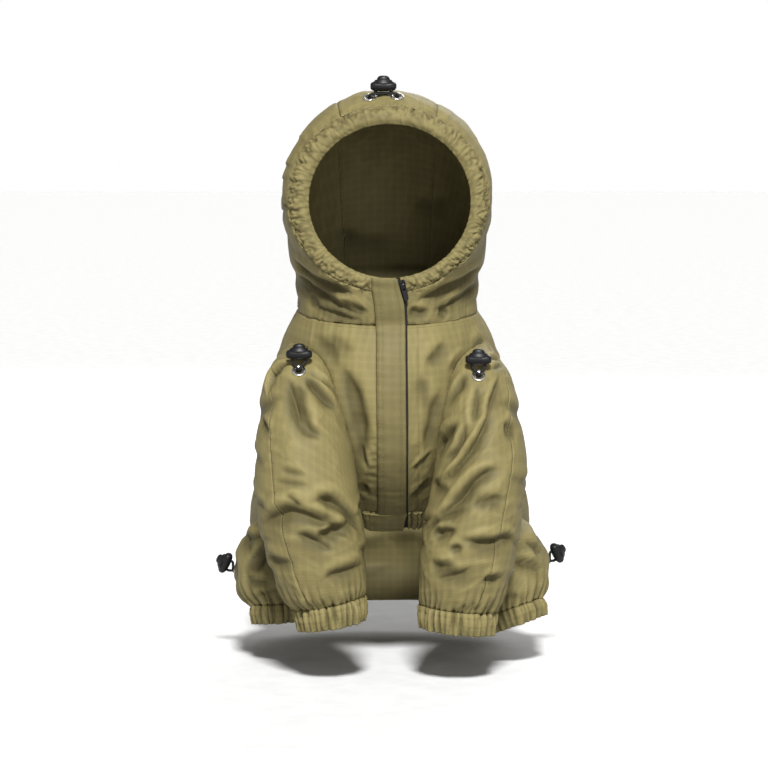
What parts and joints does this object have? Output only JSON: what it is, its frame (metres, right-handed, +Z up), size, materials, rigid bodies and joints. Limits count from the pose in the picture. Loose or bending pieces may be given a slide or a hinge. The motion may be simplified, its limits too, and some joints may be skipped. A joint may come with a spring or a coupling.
{
  "type": "dog jumpsuit",
  "caption": "Hooded full-leg dog jumpsuit in worn sitting form, hollow cloth with a gathered hood, storm-flap zip, elastic cuffs and cord locks.",
  "frame": {"origin": "middle of the neck seam, where the wearer's neck and shoulders hold it up", "axes": "+Z up, front towards -Y, +X is the wearer's left"},
  "size_m": [0.2605, 0.2825, 0.4051],
  "materials": {
    "ripstop": "slightly sheeny coated ripstop",
    "elastic": "gathered over elastic",
    "black_plastic": "semi-gloss moulded",
    "black_cord": "round braided elastic",
    "nickel": "bright nickel plate",
    "zip_black": "satin"
  },
  "bodies": {
    "jumpsuit": {"back": "ripstop", "belly_band_left": "elastic", "belly_band_right": "elastic", "belly_tab": "ripstop", "cord_crown_left": "black_cord", "cord_crown_right": "black_cord", "cord_hip_left": "black_cord", "cord_hip_right": "black_cord", "cord_shoulder_left": "black_cord", "cord_shoulder_right": "black_cord", "eyelet_crown_left": "nickel", "eyelet_crown_right": "nickel", "eyelet_hip_left": "nickel", "eyelet_hip_right": "nickel", "eyelet_shoulder_left": "nickel", "eyelet_shoulder_right": "nickel", "front_left": "ripstop", "front_right": "ripstop", "hind_cuff_left": "elastic", "hind_cuff_right": "elastic", "hind_leg_left": "ripstop", "hind_leg_right": "ripstop", "hood_casing": "ripstop", "hood_center": "ripstop", "hood_left": "ripstop", "hood_right": "ripstop", "lock_crown_body": "black_plastic", "lock_hip_left_body": "black_plastic", "lock_hip_right_body": "black_plastic", "lock_shoulder_left_body": "black_plastic", "lock_shoulder_right_body": "black_plastic", "sleeve_cuff_left": "elastic", "sleeve_cuff_right": "elastic", "sleeve_left_front": "ripstop", "sleeve_left_outer": "ripstop", "sleeve_right_front": "ripstop", "sleeve_right_outer": "ripstop", "storm_flap": "ripstop", "zip_slider": "zip_black", "zip_tape": "zip_black"},
    "lock_crown_plunger": {"lock_crown_plunger": "black_plastic"},
    "lock_hip_left_plunger": {"lock_hip_left_plunger": "black_plastic"},
    "lock_hip_right_plunger": {"lock_hip_right_plunger": "black_plastic"},
    "lock_shoulder_left_plunger": {"lock_shoulder_left_plunger": "black_plastic"},
    "lock_shoulder_right_plunger": {"lock_shoulder_right_plunger": "black_plastic"},
    "zip_pull": {"zip_pull": "zip_black"}
  },
  "joints": [
    {"name": "crown_lock_press", "type": "slide", "parent": "jumpsuit", "child": "lock_crown_plunger", "axis": [0, 0, -1], "range_m": [0, 0.0024], "stiffness_N_per_m": 300, "springref_m": -0.002},
    {"name": "hip_left_lock_press", "type": "slide", "parent": "jumpsuit", "child": "lock_hip_left_plunger", "axis": [-0.7876, -0.2403, -0.5674], "range_m": [0, 0.0024], "stiffness_N_per_m": 300, "springref_m": -0.002},
    {"name": "hip_right_lock_press", "type": "slide", "parent": "jumpsuit", "child": "lock_hip_right_plunger", "axis": [0.8228, -0.1794, -0.5392], "range_m": [0, 0.0024], "stiffness_N_per_m": 300, "springref_m": -0.002},
    {"name": "shoulder_left_lock_press", "type": "slide", "parent": "jumpsuit", "child": "lock_shoulder_left_plunger", "axis": [0, 0, -1], "range_m": [0, 0.0024], "stiffness_N_per_m": 300, "springref_m": -0.002},
    {"name": "shoulder_right_lock_press", "type": "slide", "parent": "jumpsuit", "child": "lock_shoulder_right_plunger", "axis": [0, 0, -1], "range_m": [0, 0.0024], "stiffness_N_per_m": 300, "springref_m": -0.002},
    {"name": "zip_pull_swing", "type": "hinge", "parent": "jumpsuit", "child": "zip_pull", "pos_m": [0.00906, -0.06594, 0.02117], "axis": [-0.9739, 0.0576, -0.2197], "range_deg": [0, 165]}
  ]
}
